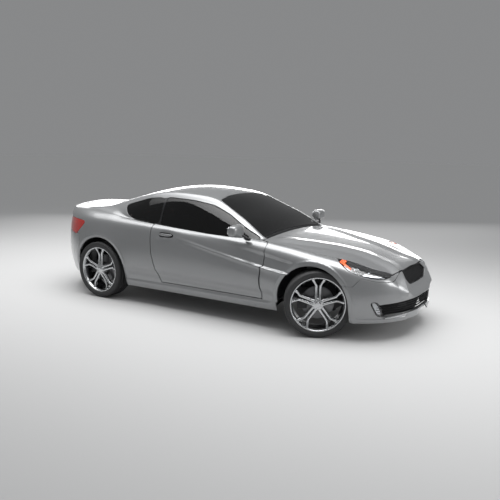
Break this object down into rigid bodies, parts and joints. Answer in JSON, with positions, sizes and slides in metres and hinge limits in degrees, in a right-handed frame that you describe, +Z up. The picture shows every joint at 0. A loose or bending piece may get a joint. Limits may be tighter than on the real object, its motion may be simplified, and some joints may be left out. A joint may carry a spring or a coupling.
{
  "type": "two-door coupe car",
  "caption": "Two-door coupe with a long bonnet, sloping roof, opening doors, bonnet and boot lid, steered front wheels and free-turning wheels.",
  "frame": {"origin": "on the floor under the middle of the car's length and width", "axes": "+X forward, +Y to the car's left, +Z up"},
  "size_m": [4.63, 2.15, 1.364],
  "materials": {
    "paint": "silver metallic, gloss",
    "glass": "dark tint, polished",
    "lamp": "clear lens",
    "lamp_red": "red lens",
    "black_plastic": "satin black",
    "trim": "grained",
    "fabric": "woven",
    "underbody": "matt black",
    "cast_iron": "as cast",
    "steel": "turned",
    "alloy": "silver, satin",
    "tyre": "matt"
  },
  "bodies": {
    "body": {"front_wings": "paint", "front_lamps": "lamp", "front_bumper": "paint", "grilles": "black_plastic", "rear_bumper": "paint", "tail_lamps": "lamp_red", "rear_deck": "trim", "side_frames": "paint", "roof_panel": "paint", "windscreen": "glass", "rear_windows": "glass", "floor_pan": "underbody", "cowl": "black_plastic", "dashboard": "trim", "seats": "fabric", "engine": "cast_iron", "front_suspension": "underbody", "rear_suspension": "underbody", "arch_liners": "black_plastic", "exhaust": "steel"},
    "bonnet_lid": {"bonnet": "paint"},
    "boot_lid_panel": {"boot_lid": "paint"},
    "door_assembly_right": {"door_right": "paint", "door_glass_right": "glass", "door_handle_right": "paint", "door_mirror_right": "paint"},
    "door_assembly_left": {"door_left": "paint", "door_glass_left": "glass", "door_handle_left": "paint", "door_mirror_left": "paint"},
    "steering_column_wheel": {"steering_wheel": "trim"},
    "wheel_front_right": {"tyre_front_right": "tyre", "rim_front_right": "alloy", "brake_disc_front_right": "steel"},
    "wheel_front_left": {"tyre_front_left": "tyre", "rim_front_left": "alloy", "brake_disc_front_left": "steel"},
    "wheel_rear_right": {"tyre_rear_right": "tyre", "rim_rear_right": "alloy", "brake_disc_rear_right": "steel"},
    "wheel_rear_left": {"tyre_rear_left": "tyre", "rim_rear_left": "alloy", "brake_disc_rear_left": "steel"},
    "steering_right": {"knuckle_right": "underbody"},
    "steering_left": {"knuckle_left": "underbody"}
  },
  "joints": [
    {"name": "door_right_hinge", "type": "hinge", "parent": "body", "child": "door_assembly_right", "pos_m": [0.84, -0.835, 0.6], "axis": [0, 0, 1], "range_deg": [0, 65]},
    {"name": "door_left_hinge", "type": "hinge", "parent": "body", "child": "door_assembly_left", "pos_m": [0.84, 0.835, 0.6], "axis": [0, 0, -1], "range_deg": [0, 65]},
    {"name": "bonnet_hinge", "type": "hinge", "parent": "body", "child": "bonnet_lid", "pos_m": [0.9, 0, 0.868], "axis": [0, -1, 0], "range_deg": [0, 50]},
    {"name": "boot_hinge", "type": "hinge", "parent": "body", "child": "boot_lid_panel", "pos_m": [-1.665, 0, 1.029], "axis": [0, 1, 0], "range_deg": [0, 75]},
    {"name": "steer_right", "type": "hinge", "parent": "body", "child": "steering_right", "pos_m": [1.475, -0.735, 0.334], "axis": [0, 0, 1], "range_deg": [-63, 7]},
    {"name": "steer_left", "type": "hinge", "parent": "body", "child": "steering_left", "pos_m": [1.475, 0.735, 0.334], "axis": [0, 0, 1], "range_deg": [-63, 7]},
    {"name": "steering_wheel_turn", "type": "hinge", "parent": "body", "child": "steering_column_wheel", "pos_m": [0.42, 0.37, 0.835], "axis": [-0.9272, 0, 0.3746], "range_deg": [-945, 105]},
    {"name": "wheel_front_right_spin", "type": "hinge", "parent": "steering_right", "child": "wheel_front_right", "pos_m": [1.50434, -0.79018, 0.334], "axis": [-0.4695, 0.8829, 0], "continuous": true},
    {"name": "wheel_rear_right_spin", "type": "hinge", "parent": "body", "child": "wheel_rear_right", "pos_m": [-1.345, -0.8075, 0.339], "axis": [0, 1, 0], "continuous": true},
    {"name": "wheel_front_left_spin", "type": "hinge", "parent": "steering_left", "child": "wheel_front_left", "pos_m": [1.44566, 0.79018, 0.334], "axis": [-0.4695, 0.8829, 0], "continuous": true},
    {"name": "wheel_rear_left_spin", "type": "hinge", "parent": "body", "child": "wheel_rear_left", "pos_m": [-1.345, 0.8075, 0.339], "axis": [0, 1, 0], "continuous": true}
  ],
  "couplings": [
    {"joint": "steer_left", "follows": "steer_right", "ratio": 1},
    {"joint": "steering_wheel_turn", "follows": "steer_right", "ratio": 15}
  ]
}
